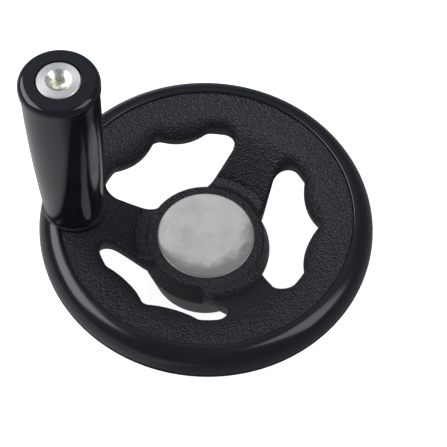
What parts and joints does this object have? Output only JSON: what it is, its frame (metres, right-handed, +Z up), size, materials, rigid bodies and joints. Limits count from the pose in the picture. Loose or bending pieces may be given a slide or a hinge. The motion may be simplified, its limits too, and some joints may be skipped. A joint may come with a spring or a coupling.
{
  "type": "machine handwheel with revolving handle",
  "caption": "Moulded spoked handwheel with a finger ripple round its windows, a bored metal hub core and a long revolving handle near the rim.",
  "frame": {"origin": "on the wheel's axis, in the plane of the hub's flat back, at the mouth of the shaft bore", "axes": "+Z along the wheel's axis from the hub's back to its face, with the handle standing up along +Z over the spoke that points to -X"},
  "size_m": [0.1255, 0.125, 0.1199],
  "materials": {
    "moulding": "fine-grained black glass-filled plastic, glossy on the rim",
    "grip": "glossy black plastic",
    "core_metal": "plain turned light metal",
    "spindle_steel": "bright zinc-plated steel",
    "bush_brass": "turned brass"
  },
  "bodies": {
    "wheel": {"wheel_body": "moulding", "hub_core": "core_metal", "handle_insert": "bush_brass", "handle_spindle": "spindle_steel"},
    "grip": {"handle_grip": "grip"}
  },
  "joints": [
    {"name": "grip_spin", "type": "hinge", "parent": "wheel", "child": "grip", "pos_m": [-0.0494, 0, 0.0432], "axis": [0, 0, 1], "continuous": true}
  ]
}
